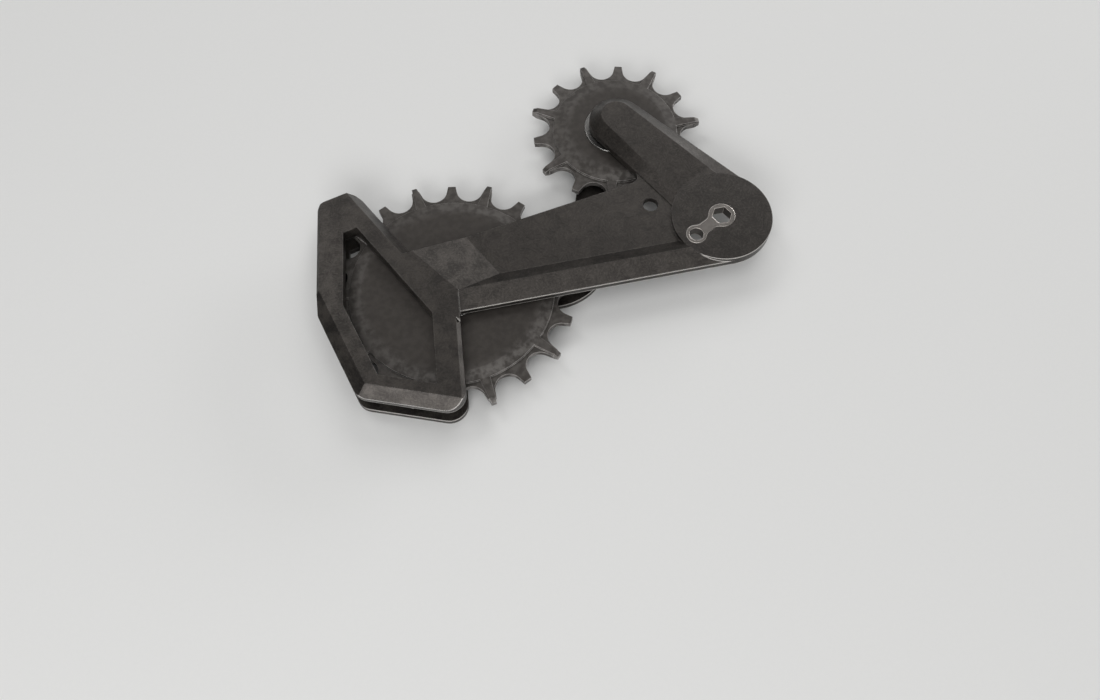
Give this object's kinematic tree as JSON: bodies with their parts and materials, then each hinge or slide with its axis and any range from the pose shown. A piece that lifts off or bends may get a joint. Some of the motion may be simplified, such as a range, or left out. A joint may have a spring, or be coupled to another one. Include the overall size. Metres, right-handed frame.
{
  "type": "rear derailleur cage",
  "caption": "Rear derailleur cage with a faceted outer plate, a flat inner plate and large narrow-wide pulleys on sealed ball bearings.",
  "frame": {"origin": "on the pivot axis, at the mounting face of the outer plate's pivot disc", "axes": "+Z out of the outer plate along the pivot axis, +X along the lower edge of the long arm towards the pivot; the cage lies on its inner plate"},
  "size_m": [0.1578, 0.1291, 0.0165],
  "materials": {
    "carbon_plate": "satin moulded carbon composite",
    "pulley_composite": "satin moulded composite",
    "insert_metal": "satin, turned",
    "bearing_steel": "ground bearing steel",
    "seal_rubber": "matte",
    "ball_cage_polymer": "moulded nylon",
    "axle_aluminium": "turned aluminium",
    "bolt_steel": "dark coated steel"
  },
  "bodies": {
    "cage": {"outer_cage_plate": "carbon_plate", "inner_cage_plate": "carbon_plate", "pivot_insert": "insert_metal", "upper_axle_bolt": "bolt_steel", "upper_axle_sleeve": "axle_aluminium", "upper_outer_washer": "axle_aluminium", "upper_inner_washer": "axle_aluminium", "upper_threaded_insert": "insert_metal", "upper_bearing_inner_race": "bearing_steel", "lower_axle_bolt": "bolt_steel", "lower_axle_sleeve": "axle_aluminium", "lower_outer_washer": "axle_aluminium", "lower_inner_washer": "axle_aluminium", "lower_threaded_insert": "insert_metal", "lower_bearing_inner_race": "bearing_steel"},
    "upper_wheel": {"upper_pulley_wheel": "pulley_composite", "upper_bearing_outer_race": "bearing_steel", "upper_outer_seal": "seal_rubber", "upper_inner_seal": "seal_rubber"},
    "upper_balls": {"upper_bearing_balls": "bearing_steel", "upper_ball_cage": "ball_cage_polymer"},
    "lower_wheel": {"lower_pulley_wheel": "pulley_composite", "lower_bearing_outer_race": "bearing_steel", "lower_outer_seal": "seal_rubber", "lower_inner_seal": "seal_rubber"},
    "lower_balls": {"lower_bearing_balls": "bearing_steel", "lower_ball_cage": "ball_cage_polymer"}
  },
  "joints": [
    {"name": "upper_wheel_spin", "type": "hinge", "parent": "cage", "child": "upper_wheel", "pos_m": [-0.0262, 0.04688, -0.0075], "axis": [0, 0, 1], "continuous": true},
    {"name": "upper_balls_roll", "type": "hinge", "parent": "cage", "child": "upper_balls", "pos_m": [-0.0262, 0.04688, -0.0075], "axis": [0, 0, 1], "continuous": true},
    {"name": "lower_wheel_spin", "type": "hinge", "parent": "cage", "child": "lower_wheel", "pos_m": [-0.09554, -0.0065, -0.0075], "axis": [0, 0, 1], "continuous": true},
    {"name": "lower_balls_roll", "type": "hinge", "parent": "cage", "child": "lower_balls", "pos_m": [-0.09554, -0.0065, -0.0075], "axis": [0, 0, 1], "continuous": true}
  ],
  "couplings": [
    {"joint": "upper_balls_roll", "follows": "upper_wheel_spin", "ratio": 0.59375},
    {"joint": "lower_balls_roll", "follows": "lower_wheel_spin", "ratio": 0.59375}
  ]
}
